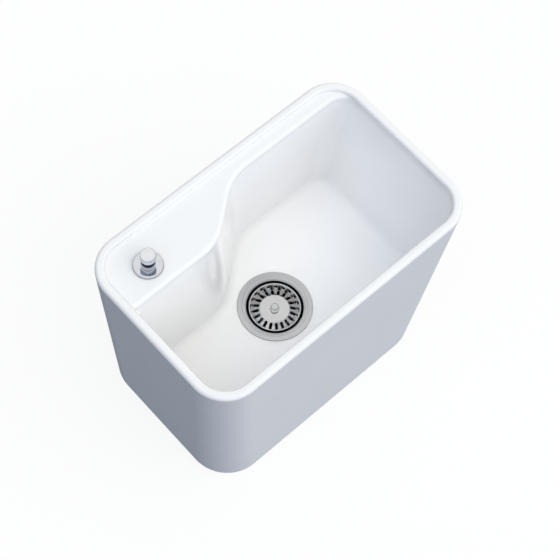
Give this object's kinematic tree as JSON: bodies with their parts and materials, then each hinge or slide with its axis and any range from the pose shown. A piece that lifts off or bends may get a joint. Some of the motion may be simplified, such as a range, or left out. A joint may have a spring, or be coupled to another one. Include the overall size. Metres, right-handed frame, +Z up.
{
  "type": "utility sink",
  "caption": "Deep rectangular glazed ceramic utility sink with a raised corner deck, a basket strainer in its floor and a pull knob that lifts the strainer through a wire and crank.",
  "frame": {"origin": "under the middle of the rim, on the plane that the trough stands on", "axes": "+X along the trough away from the knob, +Y towards the back ledge and deck, +Z up"},
  "size_m": [0.485, 0.297, 0.3775],
  "materials": {
    "glazed_ceramic": "glossy white glaze",
    "stainless": "brushed stainless steel",
    "chrome": "polished chrome plate",
    "rubber": "matte black rubber",
    "plastic": "satin white moulded plastic",
    "casing": "black extruded plastic",
    "brass": "turned brass",
    "wire": "drawn steel wire"
  },
  "bodies": {
    "sink": {"basin": "glazed_ceramic", "strainer_flange": "stainless", "flange_gasket": "rubber", "body_gasket": "rubber", "cup_spider": "stainless", "waste_collar": "plastic", "waste_spider": "plastic", "waste_body": "plastic", "shaft_boss": "plastic", "casing_holder": "plastic", "outlet_tail": "plastic", "centre_screw": "stainless", "shaft_seal": "rubber", "lower_ferrule": "brass", "wire_casing": "casing", "upper_ferrule": "brass", "sleeve_end_cap": "plastic", "guide_sleeve": "chrome", "rosette": "chrome", "rosette_gasket": "rubber", "sleeve_washer": "rubber", "lock_nut": "brass"},
    "knob": {"pull_knob": "chrome", "knob_spindle": "brass", "upper_wire": "wire"},
    "crank": {"crank_shaft": "brass", "crank_arm": "plastic", "arm_screw": "stainless"},
    "pull_wire": {"lower_wire": "wire"},
    "pin": {"lift_pin": "stainless"},
    "basket": {"strainer_basket": "stainless", "basket_stem": "stainless", "basket_button": "stainless", "plug_plate": "stainless", "plug_seal": "rubber"}
  },
  "joints": [
    {"name": "knob_pull", "type": "slide", "parent": "sink", "child": "knob", "axis": [0, 0, 1], "range_m": [0, 0.012]},
    {"name": "crank_turn", "type": "hinge", "parent": "sink", "child": "crank", "pos_m": [-0.03, -0.01693, 0.062], "axis": [1, 0, 0], "range_deg": [0, 50]},
    {"name": "wire_draw", "type": "slide", "parent": "sink", "child": "pull_wire", "axis": [0, 1, 0], "range_m": [0, 0.01162]},
    {"name": "pin_lift", "type": "slide", "parent": "sink", "child": "pin", "axis": [0, 0, 1], "range_m": [0, 0.00845]},
    {"name": "basket_lift_out", "type": "slide", "parent": "pin", "child": "basket", "axis": [0, 0, 1], "range_m": [0, 0.15]}
  ],
  "couplings": [
    {"joint": "crank_turn", "follows": "knob_pull", "rad_per_m": 72.722},
    {"joint": "wire_draw", "follows": "knob_pull", "ratio": 0.9685},
    {"joint": "pin_lift", "follows": "knob_pull", "ratio": 0.7044}
  ]
}
